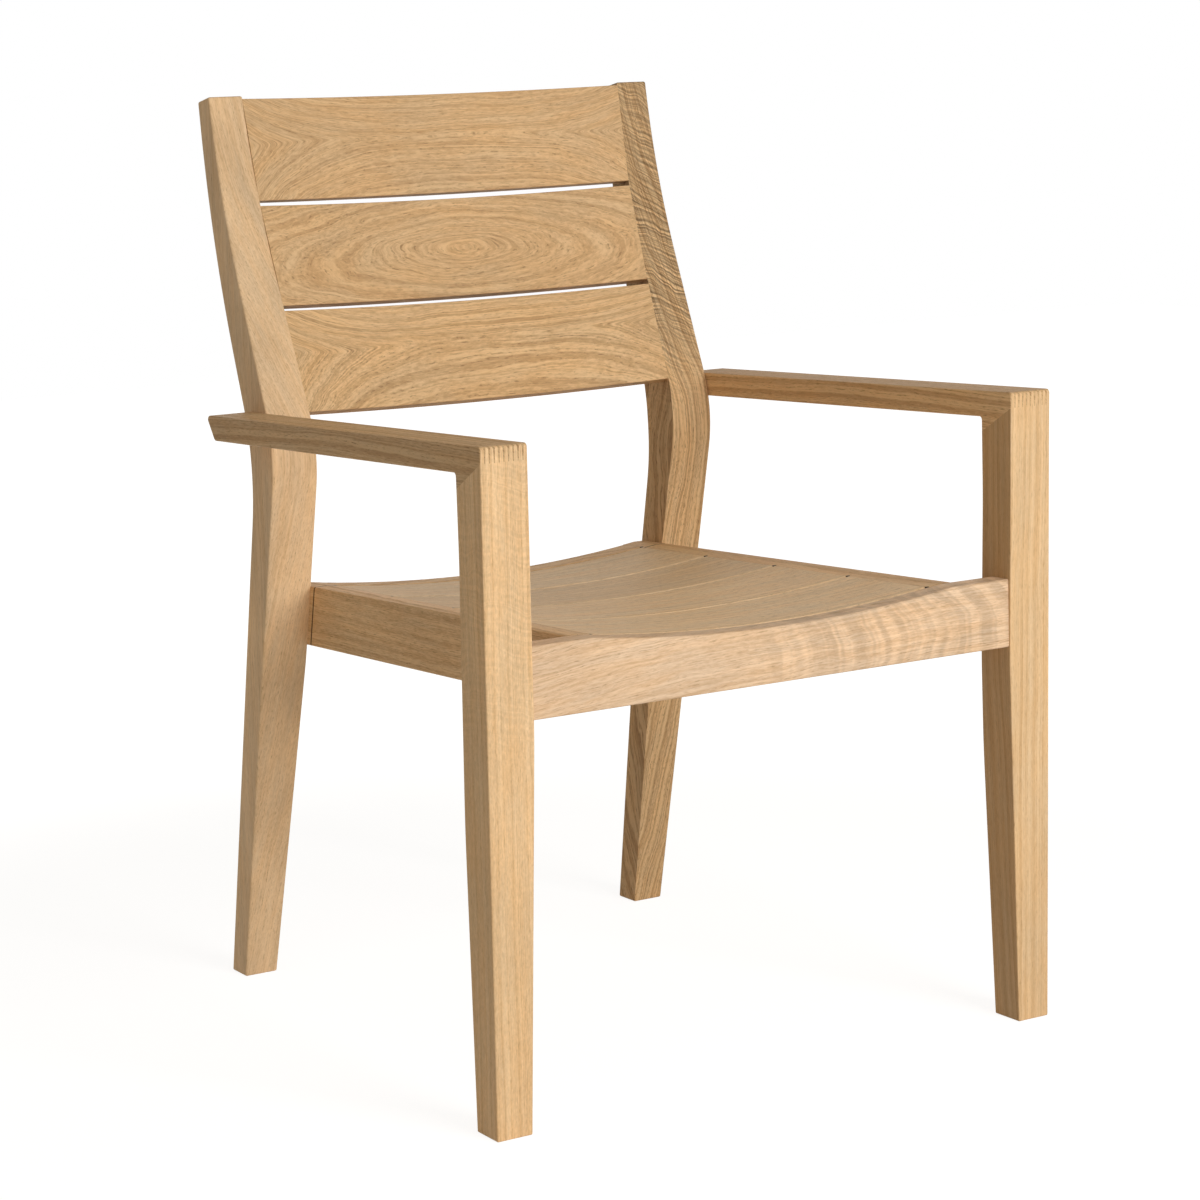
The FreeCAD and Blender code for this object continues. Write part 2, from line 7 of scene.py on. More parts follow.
import logging
import math
from dataclasses import dataclass, field, fields, replace
from enum import Enum
from functools import reduce
from typing import Any, Optional

import bmesh
import bpy
import numpy
from mathutils import Matrix, Vector


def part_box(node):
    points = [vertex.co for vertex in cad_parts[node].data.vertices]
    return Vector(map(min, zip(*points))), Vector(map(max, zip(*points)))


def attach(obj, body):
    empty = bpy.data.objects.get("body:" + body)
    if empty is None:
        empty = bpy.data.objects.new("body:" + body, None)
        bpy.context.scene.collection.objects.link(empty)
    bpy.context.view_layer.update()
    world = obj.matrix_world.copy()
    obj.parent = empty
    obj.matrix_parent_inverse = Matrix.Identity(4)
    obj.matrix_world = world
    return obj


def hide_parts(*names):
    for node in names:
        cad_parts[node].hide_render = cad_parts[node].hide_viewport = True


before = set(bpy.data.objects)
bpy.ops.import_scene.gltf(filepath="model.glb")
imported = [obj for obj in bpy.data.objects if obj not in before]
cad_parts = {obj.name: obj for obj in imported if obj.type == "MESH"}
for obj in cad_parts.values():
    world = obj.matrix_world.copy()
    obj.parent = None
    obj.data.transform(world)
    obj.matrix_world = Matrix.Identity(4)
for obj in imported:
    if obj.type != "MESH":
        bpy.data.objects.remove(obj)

LOG = logging.getLogger("armchair")
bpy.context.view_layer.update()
BODY = "root"
FLOAT, VECTOR, COLOUR = "NodeSocketFloat", "NodeSocketVector", "NodeSocketColor"
INTEGER, GEOMETRY, MATERIAL = "NodeSocketInt", "NodeSocketGeometry", "NodeSocketMaterial"
Socket, Tree = bpy.types.NodeSocket, bpy.types.NodeTree


# ---------- node graphs
@dataclass(frozen=True)
class Noise:
    """Soft noise: its cells for each metre along X, Y and Z, its octaves and how strong they are."""

    cells: tuple
    detail: float = 2.0
    rough: float = 0.5


class Graph:
    """Adds nodes to one node tree and links them by name."""

    def __init__(self, tree: Tree) -> None:
        """Start on an empty tree.

        Args:
            tree: the shader, world or geometry tree to fill.
        """
        self.tree = tree
        tree.nodes.clear()

    def add(self, kind: str, inputs: Optional[dict] = None, **settings: Any) -> bpy.types.Node:
        """Add one node.

        Args:
            kind: the node's type name.
            inputs: values or sockets for its inputs, by name or index.
            settings: attributes of the node itself.

        Returns:
            The new node.
        """
        node = self.tree.nodes.new(kind)
        for name, value in settings.items():
            setattr(node, name, value)
        for key, value in (inputs or {}).items():
            self.feed(node.inputs[key], value)
        return node

    def feed(self, socket: Socket, value: Any) -> None:
        """Set an input to a value, or link it where the value is another node's output.

        Args:
            socket: the input.
            value: a number, a tuple or an output.
        """
        if isinstance(value, Socket):
            self.tree.links.new(value, socket)
        else:
            socket.default_value = value

    def group(self, tree: Tree, values: dict) -> Any:
        """Place a node group with its input values, and return its outputs."""
        return self.add("ShaderNodeGroup", values, node_tree=tree).outputs

    def put_out(self, values: dict) -> Tree:
        """Link a node group's results to its outputs, and return its finished tree."""
        self.add("NodeGroupOutput", values)
        return self.tree

    def math(self, operation: str, *values: Any) -> Socket:
        """Return the result of a math node on one to three values."""
        return self.add("ShaderNodeMath", dict(enumerate(values)), operation=operation).outputs[0]

    def total(self, *values: Any) -> Socket:
        """Return the sum of several values."""
        return reduce(lambda so_far, value: self.math("ADD", so_far, value), values)

    def products(self, *pairs: tuple) -> Socket:
        """Return the sum of the products of several pairs."""
        return self.total(*[self.math("MULTIPLY", *pair) for pair in pairs])

    def vector(self, operation: str, *values: Any) -> Socket:
        """Return the vector result of a vector math node."""
        node = self.add("ShaderNodeVectorMath", dict(enumerate(values)), operation=operation)
        return node.outputs[0]

    def scaled(self, vector: Any, factor: Any) -> Socket:
        """Return a vector times a number."""
        node = self.add("ShaderNodeVectorMath", {0: vector, "Scale": factor}, operation="SCALE")
        return node.outputs[0]

    def dot(self, first: Any, second: Any) -> Socket:
        """Return the dot product of two vectors."""
        node = self.add("ShaderNodeVectorMath", {0: first, 1: second}, operation="DOT_PRODUCT")
        return node.outputs["Value"]

    def length(self, vector: Any) -> Socket:
        """Return how long a vector is."""
        return self.add("ShaderNodeVectorMath", {0: vector}, operation="LENGTH").outputs["Value"]

    def parts(self, vector: Any) -> Any:
        """Return the X, Y and Z of a vector."""
        return self.add("ShaderNodeSeparateXYZ", {0: vector}).outputs

    def joined(self, *parts: Any) -> Socket:
        """Return the vector that has these three parts."""
        return self.add("ShaderNodeCombineXYZ", dict(enumerate(parts))).outputs[0]

    def colour(self, *parts: Any) -> Socket:
        """Return the colour that has these parts of red, green and blue."""
        return self.add("ShaderNodeCombineColor", dict(enumerate(parts))).outputs[0]

    def spread(self, value: Any, low: Any, high: Any, to_low: float = 0.0,
               to_high: float = 1.0) -> Socket:
        """Return a value stretched from one range to another and held inside it.

        Args:
            value: the value to stretch.
            low: what becomes to_low.
            high: what becomes to_high.
            to_low: the result at the low end.
            to_high: the result at the high end.

        Returns:
            The stretched value, eased at both ends.
        """
        inputs = {"Value": value, "From Min": low, "From Max": high, "To Min": to_low, "To Max": to_high}
        return self.add("ShaderNodeMapRange", inputs, interpolation_type="SMOOTHSTEP").outputs[0]

    def noise(self, place: Any, pattern: Noise, output: str = "Fac") -> Socket:
        """Return soft noise at a place.

        Args:
            place: the vector to read.
            pattern: the noise's cells and octaves.
            output: Fac for a single value, Color for three in one.

        Returns:
            The noise's output, about 0.5 on average.
        """
        inputs = {"Vector": self.vector("MULTIPLY", place, pattern.cells), "Scale": 1.0,
                  "Detail": pattern.detail, "Roughness": pattern.rough}
        return self.add("ShaderNodeTexNoise", inputs, noise_dimensions="3D").outputs[output]

    def swing(self, place: Any, pattern: Noise) -> Socket:
        """Return soft noise that swings to both sides of zero."""
        return self.math("SUBTRACT", self.noise(place, pattern), 0.5)

    def drift(self, place: Any, pattern: Noise, reach: Any) -> Socket:
        """Return a place vector pushed about by noise, up to about a reach each way."""
        push = self.vector("SUBTRACT", self.noise(place, pattern, "Color"), (0.5, 0.5, 0.5))
        return self.vector("ADD", place, self.scaled(self.scaled(push, 2.0), reach))

    def lines(self, height: Any, detail: float, rough: float) -> Socket:
        """Return noise along one number, which draws uneven lines where the number is even."""
        inputs = {"W": height, "Scale": 1.0, "Detail": detail, "Roughness": rough}
        return self.add("ShaderNodeTexNoise", inputs, noise_dimensions="1D").outputs["Fac"]

    def blend(self, factor: Any, first: Any, second: Any, kind: str = "MIX") -> Socket:
        """Return two colours blended by a factor.

        Args:
            factor: 0 for the first, 1 for the second.
            first: a colour.
            second: a colour.
            kind: the way they blend.

        Returns:
            The blended colour.
        """
        node = self.add("ShaderNodeMix", data_type="RGBA", blend_type=kind)
        colours = [socket for socket in node.inputs if socket.type == "RGBA"]
        self.feed(node.inputs["Factor"], factor)
        self.feed(colours[0], first)
        self.feed(colours[1], second)
        return [socket for socket in node.outputs if socket.type == "RGBA"][0]


def open_group(name: str, inputs: dict, outputs: dict, kind: str = "ShaderNodeTree") -> tuple:
    """Start a node group with named sockets.

    Args:
        name: the group's name.
        inputs: each input's name and socket type.
        outputs: each output's name and socket type.
        kind: the tree's type.

    Returns:
        The group's graph, and the sockets that bring its inputs in.
    """
    tree = bpy.data.node_groups.new(name, kind)
    for side, sockets in (("INPUT", inputs), ("OUTPUT", outputs)):
        for label, socket_type in sockets.items():
            tree.interface.new_socket(label, in_out=side, socket_type=socket_type)
    graph = Graph(tree)
    return graph, graph.add("NodeGroupInput").outputs


def floats(*names: str) -> dict:
    """Return number sockets with these names."""
    return dict.fromkeys(names, FLOAT)


def socket_values(part: Any) -> dict:
    """Return a dataclass's values by the names of a group's inputs, such as Slope for slope."""
    return {item.name.title(): getattr(part, item.name) for item in fields(part)}


# ---------- wood, as node groups
@dataclass(frozen=True)
class RingGroup:
    """Says how deep in the log's growth rings a point lies.

    Its Place runs along the grain in X, across the face in Y and into the board in Z, and the
    depth is a length. A fold mirrors the rings about the middle of the face, an oval bends a fold
    into an eye, and a bend with a high power turns the ends of a fold into flames.
    """

    log_step: tuple = (3.1, 1.7, 2.3)
    rings_per_log: float = 31.0
    broad_wander: Noise = Noise((4.0, 12.0, 12.0))
    fine_wander: Noise = Noise((17.0, 55.0, 55.0))
    fine_share: float = 0.25
    fold_radius: float = 0.002

    def build(self) -> Tree:
        """Build the group.

        Returns:
            The group, with the Ring, and the Grain: the place along the rings.
        """
        inputs = floats("Spacing", "Across", "Depth", "Slope", "Fold", "Oval", "Bend", "Power")
        inputs.update(Place=VECTOR, Log=FLOAT, Wander=FLOAT)
        graph, given = open_group("growth_rings", inputs, {"Ring": FLOAT, "Grain": VECTOR})
        log = graph.scaled(self.log_step, given["Log"])
        fine_reach = graph.math("MULTIPLY", given["Wander"], self.fine_share)
        pushed = graph.vector("ADD", given["Place"], log)
        pushed = graph.drift(pushed, self.broad_wander, given["Wander"])
        pushed = graph.drift(pushed, self.fine_wander, fine_reach)
        parts = graph.parts(graph.vector("SUBTRACT", pushed, log))
        oval = graph.math("POWER", graph.math("MULTIPLY", parts["X"], given["Oval"]), 2.0)
        across = graph.math("POWER", parts["Y"], 2.0)
        fold = graph.math("SQRT", graph.total(oval, across, self.fold_radius ** 2))
        bend = graph.math("POWER", graph.math("ABSOLUTE", parts["X"]), given["Power"])
        height = graph.products((parts["Y"], given["Across"]), (fold, given["Fold"]),
                                (parts["Z"], given["Depth"]), (parts["X"], given["Slope"]),
                                (bend, given["Bend"]))
        ring = graph.math("DIVIDE", height, given["Spacing"])
        ring = graph.math("ADD", ring, graph.math("MULTIPLY", given["Log"], self.rings_per_log))
        grain = graph.joined(parts["X"], height, parts["Z"])
        return graph.put_out({"Ring": ring, "Grain": graph.vector("ADD", grain, log)})


@dataclass(frozen=True)
class CurlGroup:
    """Draws curl: bars across the grain where the fibres lie in waves.

    The bars bend aside by the sway, and fade in and out in patches. The wave's lines hold their
    octaves and how strong they are.
    """

    sway: Noise = Noise((14.0, 30.0, 30.0))
    sway_reach: float = 0.011
    wave_lines: tuple = (2.0, 0.6)
    wave_range: tuple = (0.36, 0.66, -1.0, 1.0)
    patches: Noise = Noise((13.0, 34.0, 34.0))
    patch_range: tuple = (0.34, 0.58, 0.45, 1.0)

    def build(self) -> Tree:
        """Build the group.

        Returns:
            The group, whose Bars are 0 outside the curl and swing each way inside it, less a shade.
        """
        inputs = floats("Strength", "Bars", "Slant", "Start", "End", "Shade", "Bow")
        graph, given = open_group("curl", {"Place": VECTOR, **inputs}, {"Bars": FLOAT})
        parts = graph.parts(graph.drift(given["Place"], self.sway, self.sway_reach))
        slant = graph.math("MULTIPLY_ADD", parts["Y"], given["Bow"], given["Slant"])
        height = graph.math("MULTIPLY_ADD", parts["Y"], slant, parts["X"])
        wave = graph.lines(graph.math("MULTIPLY", height, given["Bars"]), *self.wave_lines)
        wave = graph.spread(wave, *self.wave_range)
        patch = graph.spread(graph.noise(given["Place"], self.patches), *self.patch_range)
        inside = graph.spread(graph.parts(given["Place"])["X"], given["Start"], given["End"])
        bars = graph.math("MULTIPLY", graph.math("MULTIPLY", wave, patch), given["Strength"])
        bars = graph.math("MULTIPLY", graph.math("SUBTRACT", bars, given["Shade"]), inside)
        return graph.put_out({"Bars": bars})


@dataclass(frozen=True)
class FaceGroup:
    """Finds the darker faces of a piece: its end grain, which is darker wood, and its sides, top
    and underside, where shade is painted into the colour.

    A range says how squarely a surface has to face one way, from not at all to in full.
    """

    end_range: tuple = (0.55, 0.9)
    face_range: tuple = (0.7, 0.9)

    def build(self) -> Tree:
        """Build the group.

        Returns:
            The group, whose Shade is the largest share among the ways that the surface faces: end
            grain darkening and painted shade.
        """
        inputs = {"Along": VECTOR, **floats("End", "Side", "Top", "Under")}
        graph, given = open_group("end_grain_and_painted_shade", inputs, {"Shade": FLOAT})
        normal = graph.add("ShaderNodeTexCoord").outputs["Normal"]
        parts = graph.parts(normal)
        end = graph.spread(graph.math("ABSOLUTE", graph.dot(normal, given["Along"])), *self.end_range)
        shade = graph.math("MULTIPLY", end, given["End"])
        # Sides, top and underside get painted shade, for the light that falls less on them.
        facing = {"Side": graph.math("ABSOLUTE", parts["X"]), "Top": parts["Z"],
                  "Under": graph.math("MULTIPLY", parts["Z"], -1.0)}
        for label, turn in facing.items():
            share = graph.spread(turn, *self.face_range)
            shade = graph.math("MAXIMUM", shade, graph.math("MULTIPLY", share, given[label]))
        return graph.put_out({"Shade": shade})


@dataclass(frozen=True)
class SeamShadowGroup:
    """Paints the shadow line that falls in the crack where a piece meets another."""

    edge_range: tuple = (0.5, 1.0, 1.0, 0.0)

    def build(self) -> Tree:
        """Build the group.

        Returns:
            The group, whose Mark is 1 on the line and 0 elsewhere.
        """
        inputs = {"Place": VECTOR, **floats("At", "Slope", "Width")}
        graph, given = open_group("seam_shadow_line", inputs, {"Mark": FLOAT})
        parts = graph.parts(given["Place"])
        line = graph.math("MULTIPLY_ADD", parts["Y"], given["Slope"], given["At"])
        away = graph.math("ABSOLUTE", graph.math("SUBTRACT", parts["X"], line))
        mark = graph.spread(graph.math("DIVIDE", away, given["Width"]), *self.edge_range)
        return graph.put_out({"Mark": mark})


@dataclass(frozen=True)
class GapShadowGroup:
    """Paints the shadow spot inside each gap between boards where it ends at a rail."""

    edge_range: tuple = (0.7, 1.1, 1.0, 0.0)

    def build(self) -> Tree:
        """Build the group.

        Returns:
            The group, whose Mark is 1 at the gap ends, which lie a pitch apart along the rail.
        """
        inputs = {"Place": VECTOR, "First": VECTOR, **floats("Pitch", "Slope", "Radius")}
        graph, given = open_group("gap_end_shadows", inputs, {"Mark": FLOAT})
        parts = graph.parts(graph.vector("SUBTRACT", given["Place"], given["First"]))
        nearest = graph.math("ROUND", graph.math("DIVIDE", parts["X"], given["Pitch"]))
        along = graph.math("SUBTRACT", parts["X"], graph.math("MULTIPLY", nearest, given["Pitch"]))
        up = graph.math("SUBTRACT", parts["Y"], graph.math("MULTIPLY", parts["X"], given["Slope"]))
        away = graph.length(graph.joined(along, up, parts["Z"]))
        mark = graph.spread(graph.math("DIVIDE", away, given["Radius"]), *self.edge_range)
        return graph.put_out({"Mark": mark})


@dataclass(frozen=True)
class SurfaceGroup:
    """Turns rings and grain into the wood's colour, gloss and relief.

    Lines hold their octaves and how strong they are. A range gives the stretch of a noise that
    counts and, where it has four numbers, what that stretch becomes.
    """

    broad_lines: tuple = (1.0, 0.5)
    fine_lines: tuple = (2.0, 0.65)
    fine_per_ring: float = 3.3
    fine_start: float = 17.0
    line_range: tuple = (0.36, 0.66)
    patches: Noise = Noise((7.0, 60.0, 20.0))
    patch_range: tuple = (0.35, 0.65, 0.45, 1.0)
    fibres: Noise = Noise((34.0, 560.0, 560.0), 4.0, 0.75)
    strokes: Noise = Noise((110.0, 680.0, 680.0), 2.0, 0.65)
    stroke_share: float = 0.95
    mottle: Noise = Noise((8.0, 26.0, 26.0), 3.0, 0.5)
    flecks: Noise = Noise((250.0, 500.0, 500.0), 1.0, 0.6)
    blush: Noise = Noise((11.0, 70.0, 30.0), 3.0, 0.6)
    blush_start: tuple = (5.0, 3.0, 7.0)
    blush_range: tuple = (0.3, 0.7, -1.0, 1.0)
    blush_colour: tuple = (0.02, -0.008, -0.05)
    dashes: Noise = Noise((120.0, 820.0, 820.0), 2.0, 0.6)
    dash_range: tuple = (0.53, 0.68)
    pore_range: tuple = (0.42, 0.62, 0.12, 1.0)
    pore_roughness: float = 0.12
    # Colour that darkens end grain and paints shade on sides, tops and undersides.
    end_grain_and_shade_colour: tuple = (0.58, 0.53, 0.47, 1.0)
    roughness_range: tuple = (0.0, 1.0, 0.52, 0.62)
    tone_relief: float = 0.25

    def build(self) -> Tree:
        """Build the group.

        Returns:
            The group, with a Colour, a Roughness and a Relief for a bump.
        """
        inputs = floats("Ring", "Curl", "Shade", "Lines", "Fibres", "Pores", "Mottle", "Fleck")
        inputs.update(Grain=VECTOR, Pale=COLOUR, Warm=COLOUR, Dark=COLOUR)
        outputs = {"Colour": COLOUR, "Roughness": FLOAT, "Relief": FLOAT}
        graph, given = open_group("wood_surface", inputs, outputs)
        fine = graph.math("MULTIPLY_ADD", given["Ring"], self.fine_per_ring, self.fine_start)
        fine = graph.lines(fine, *self.fine_lines)
        tone = self.tone(graph, given, fine)
        colour = graph.blend(tone, given["Pale"], given["Warm"])
        for tint in self.tints(graph, given):
            colour = graph.blend(1.0, colour, tint, "MULTIPLY")
        dash = graph.spread(graph.noise(given["Grain"], self.dashes), *self.dash_range)
        pore = graph.math("MULTIPLY", dash, graph.spread(fine, *self.pore_range))
        colour = graph.blend(graph.math("MULTIPLY", pore, given["Pores"]), colour, given["Dark"])
        # The Shade darkens end grain, which is darker wood, and paints shade on sides, tops and undersides.
        shaded = graph.blend(1.0, colour, self.end_grain_and_shade_colour, "MULTIPLY")
        colour = graph.blend(given["Shade"], colour, shaded)
        rough = graph.spread(tone, *self.roughness_range)
        rough = graph.math("MULTIPLY_ADD", pore, self.pore_roughness, rough)
        relief = graph.math("SUBTRACT", graph.math("MULTIPLY", tone, self.tone_relief), pore)
        return graph.put_out({"Colour": colour, "Roughness": rough, "Relief": relief})

    def tone(self, graph: Graph, given: Any, fine: Any) -> Socket:
        """Draw growth rings, fibres and strokes.

        Args:
            graph: the group's graph.
            given: the group's inputs.
            fine: the fine lines between the rings.

        Returns:
            How far the wood goes from its pale colour to its warm one.
        """
        broad = graph.lines(given["Ring"], *self.broad_lines)
        rings = graph.spread(graph.products((broad, 0.5), (fine, 0.5)), *self.line_range)
        patch = graph.spread(graph.noise(given["Grain"], self.patches), *self.patch_range)
        rings = graph.math("MULTIPLY", graph.math("SUBTRACT", rings, 0.5), patch)
        fibres = graph.swing(given["Grain"], self.fibres)
        strokes = graph.swing(given["Grain"], self.strokes)
        fibres = graph.math("MULTIPLY_ADD", strokes, self.stroke_share, fibres)
        tone = graph.total(0.5, graph.math("MULTIPLY", rings, given["Lines"]),
                           graph.math("MULTIPLY", fibres, given["Fibres"]))
        return graph.spread(tone, 0.0, 1.0)

    def tints(self, graph: Graph, given: Any) -> tuple:
        """Draw mottle, flecks and curl, and a blush of rosier and yellower streaks.

        Args:
            graph: the group's graph.
            given: the group's inputs.

        Returns:
            The grey and the blush that multiply the colour.
        """
        mottle = graph.swing(given["Grain"], self.mottle)
        flecks = graph.swing(given["Grain"], self.flecks)
        light = graph.total(1.0, graph.math("MULTIPLY", mottle, given["Mottle"]),
                            graph.math("MULTIPLY", flecks, given["Fleck"]), given["Curl"])
        place = graph.vector("ADD", given["Grain"], self.blush_start)
        blush = graph.spread(graph.noise(place, self.blush), *self.blush_range)
        hue = [graph.math("MULTIPLY_ADD", blush, part, 1.0) for part in self.blush_colour]
        return graph.colour(light, light, light), graph.colour(*hue)


# ---------- wood, as it is cut
class Grain(Enum):
    """Which way the grain runs through a piece: along, across the face, and into it."""

    UP_FRONT = ("Z", "X", "Y")
    TO_REAR = ("Y", "X", "Z")
    TO_REAR_UP = ("Y", "Z", "X")
    ACROSS_UP = ("X", "Z", "Y")
    ACROSS_FLAT = ("X", "Y", "Z")

    def axes(self) -> list:
        """Return the unit vectors along the grain, across the face and into the piece."""
        return [Vector([float(letter == name) for name in "XYZ"]) for letter in self.value]


@dataclass(frozen=True)
class Tone:
    """Colours of one batch of the wood, as linear red, green and blue."""

    pale: tuple
    warm: tuple
    dark: tuple = (0.26, 0.135, 0.055)

    def times(self, factor: float) -> "Tone":
        """Return the same tone, lighter or darker, with the same dark pores."""
        pale, warm = (tuple(part * factor for part in colour) for colour in (self.pale, self.warm))
        return replace(self, pale=pale, warm=warm)


HONEY = Tone((0.93, 0.65, 0.37), (0.71, 0.45, 0.222))
BUFF = Tone((0.90, 0.61, 0.325), (0.63, 0.385, 0.190))
ROSY = Tone((0.92, 0.655, 0.395), (0.745, 0.505, 0.282))
BLOND = Tone((0.95, 0.69, 0.46), (0.73, 0.485, 0.285))
SANDY = Tone((0.90, 0.67, 0.42), (0.74, 0.525, 0.31))
BROWN = Tone((0.88, 0.595, 0.315), (0.58, 0.355, 0.17))


@dataclass(frozen=True)
class Figure:
    """How the growth rings cross a piece: straight along it, or in arches where they have a bend."""

    spacing: float
    across: float = 1.0
    depth: float = 0.35
    slope: float = 0.0
    fold: float = 0.0
    oval: float = 0.0
    bend: float = 0.0
    power: float = 2.0

    @classmethod
    def eye(cls, spacing: float, oval: float) -> "Figure":
        """Return nested ovals, whose width is this share of their length."""
        return cls(spacing, across=0.08, fold=1.0, oval=oval)

    @classmethod
    def flames(cls, spacing: float, rise: float, half_length: float, lean: float) -> "Figure":
        """Return a fold whose lines part at both ends of the piece, where they show as flames."""
        return cls(spacing, across=lean, fold=1.0, bend=-rise / half_length ** 4, power=4.0)


@dataclass(frozen=True)
class Curl:
    """Bars across the grain: how strong and how dense, their slant and bow, and their shade.

    They fade in from the start to the end, two places along the piece from its middle.
    """

    strength: float
    bars: float
    slant: float
    start: float
    end: float
    shade: float = 0.0
    bow: float = 0.0


@dataclass(frozen=True)
class SeamShadow:
    """A painted shadow line in a joint's crack across a piece: where it crosses the middle, its slope
    and its width.
    """

    at: float
    slope: float
    width: float


@dataclass(frozen=True)
class GapEndShadows:
    """Painted shadow spots where the gaps between the boards end on a rail: the first one, their pitch,
    slope and size.
    """

    first: tuple
    pitch: float
    slope: float
    radius: float


@dataclass(frozen=True)
class Cut:
    """One piece's wood: its grain, its figure and how strongly each part of it shows.

    The log sets which part of the pattern the piece gets, and the wander is how far its lines
    stray. The side, top and underside shares are painted shade on those faces, for light that
    falls less there, and the centre moves the figure's middle from the piece's own.
    """

    grain: Grain
    figure: Figure
    tone: Tone
    log: float
    wander: float = 0.004
    lines: float = 0.9
    fibres: float = 1.2
    pores: float = 0.5
    mottle: float = 0.25
    fleck: float = 0.0
    side: float = 0.0
    top: float = 0.0
    under: float = 0.0
    curl: Optional[Curl] = None
    # Painted shadows: a line in a joint's crack, and spots inside the ends of the gaps between boards.
    seam: Optional[SeamShadow] = None
    gap_end_shadows: Optional[GapEndShadows] = None
    centre: tuple = (0.0, 0.0, 0.0)


@dataclass(frozen=True)
class SandedWood:
    """A sanded, oiled hardwood with open pores and a soft sheen."""

    rings: Tree = field(default_factory=RingGroup().build)
    curl: Tree = field(default_factory=CurlGroup().build)
    faces: Tree = field(default_factory=FaceGroup().build)
    seam: Tree = field(default_factory=SeamShadowGroup().build)
    gap_end_shadows: Tree = field(default_factory=GapShadowGroup().build)
    surface: Tree = field(default_factory=SurfaceGroup().build)
    end_shade: float = 0.55
    # Colour of the painted shadows in joint cracks and at gap ends.
    painted_shadow_colour: tuple = (0.035, 0.018, 0.008, 1.0)
    relief: float = 0.00015
    relief_strength: float = 0.6
    refraction: float = 1.45
    specular: float = 0.22

    def material(self, name: str, cut: Cut, middle: Vector) -> bpy.types.Material:
        """Make the material of one piece.

        Args:
            name: the piece that it is for.
            cut: how the piece was cut from its log.
            middle: the middle of the piece, where its figure is centred.

        Returns:
            The new material.
        """
        material = bpy.data.materials.new("wood_" + name)
        material.use_nodes = True
        graph = Graph(material.node_tree)
        place = self.place(graph, cut, middle)
        surface = graph.group(self.surface, self.surface_values(graph, cut, place))
        colour = surface["Colour"]
        # Paint the shadows in the joint's crack and at the gap ends.
        for tree, marks in ((self.seam, cut.seam), (self.gap_end_shadows, cut.gap_end_shadows)):
            if marks:
                mark = graph.group(tree, {"Place": place, **socket_values(marks)})["Mark"]
                colour = graph.blend(mark, colour, self.painted_shadow_colour)
        bump = {"Strength": self.relief_strength, "Distance": self.relief, "Height": surface["Relief"]}
        shader = graph.add("ShaderNodeBsdfPrincipled", {
            "Base Color": colour, "Roughness": surface["Roughness"],
            "Normal": graph.add("ShaderNodeBump", bump).outputs["Normal"], "IOR": self.refraction,
            "Specular IOR Level": self.specular,
        })
        graph.add("ShaderNodeOutputMaterial", {"Surface": shader.outputs[0]})
        return material

    def place(self, graph: Graph, cut: Cut, middle: Vector) -> Socket:
        """Find where a point lies in its piece.

        Args:
            graph: the material's graph.
            cut: how the piece was cut from its log.
            middle: the middle of the piece.

        Returns:
            The place along the grain, across the face and into it, from the figure's middle.
        """
        axes = cut.grain.axes()
        centre = middle + sum((axis * part for axis, part in zip(axes, cut.centre)), Vector())
        source = graph.add("ShaderNodeTexCoord").outputs["Object"]
        moved = graph.vector("SUBTRACT", source, tuple(centre))
        return graph.joined(*[graph.dot(moved, tuple(axis)) for axis in axes])

    def surface_values(self, graph: Graph, cut: Cut, place: Any) -> dict:
        """Place the rings, faces and curl of one piece.

        Args:
            graph: the material's graph.
            cut: how the piece was cut from its log.
            place: the place in the piece.

        Returns:
            Values for each input of the surface group.
        """
        rings = graph.group(self.rings, {"Place": place, "Log": cut.log, "Wander": cut.wander,
                                         **socket_values(cut.figure)})
        along = tuple(cut.grain.axes()[0])
        faces = graph.group(self.faces, {"Along": along, "End": self.end_shade, "Side": cut.side,
                                         "Top": cut.top, "Under": cut.under})
        bars = 0.0
        if cut.curl:
            bars = graph.group(self.curl, {"Place": place, **socket_values(cut.curl)})["Bars"]
        tone = {name: (*colour, 1.0) for name, colour in socket_values(cut.tone).items()}
        return {
            "Ring": rings["Ring"], "Grain": rings["Grain"], "Curl": bars, "Shade": faces["Shade"],
            "Lines": cut.lines, "Fibres": cut.fibres, "Pores": cut.pores, "Mottle": cut.mottle,
            "Fleck": cut.fleck, **tone,
        }

    def dress(self, name: str, cut: Cut) -> None:
        """Give one CAD piece its wood.

        Args:
            name: the piece's node.
            cut: how the piece was cut from its log.
        """
        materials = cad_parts[name].data.materials
        materials.clear()
        materials.append(self.material(name, cut, middle_of(name)))
        LOG.info("dressed %s", name)


def middle_of(name: str) -> Vector:
    """Return the middle of a CAD node's box."""
    low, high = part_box(name)
    return (Vector(low) + Vector(high)) / 2


# ---------- sub-assemblies
@dataclass
class FrontLegs:
    """The two front legs, with curly wood in the upper half of the left one."""

    wood: SandedWood
    line_spacing: float = 0.0055
    depth_rise: float = 0.9
    right_light: float = 0.94

    def dress(self) -> None:
        """Dress both legs."""
        figure = Figure(self.line_spacing, slope=0.012, depth=self.depth_rise)
        # side is painted shade on the legs' sides, deeper on the right leg.
        right = Cut(Grain.UP_FRONT, figure, HONEY.times(self.right_light), log=1.0, wander=0.003, lines=0.5,
                    fibres=0.65, pores=0.28, fleck=0.15, side=0.58)
        curl = Curl(strength=0.045, bars=240.0, slant=0.3, start=-0.02, end=0.10)
        left = replace(right, tone=HONEY, log=2.0, curl=curl, fleck=0.30, side=0.15)
        self.wood.dress("front_leg_left", left)
        self.wood.dress("front_leg_right", right)


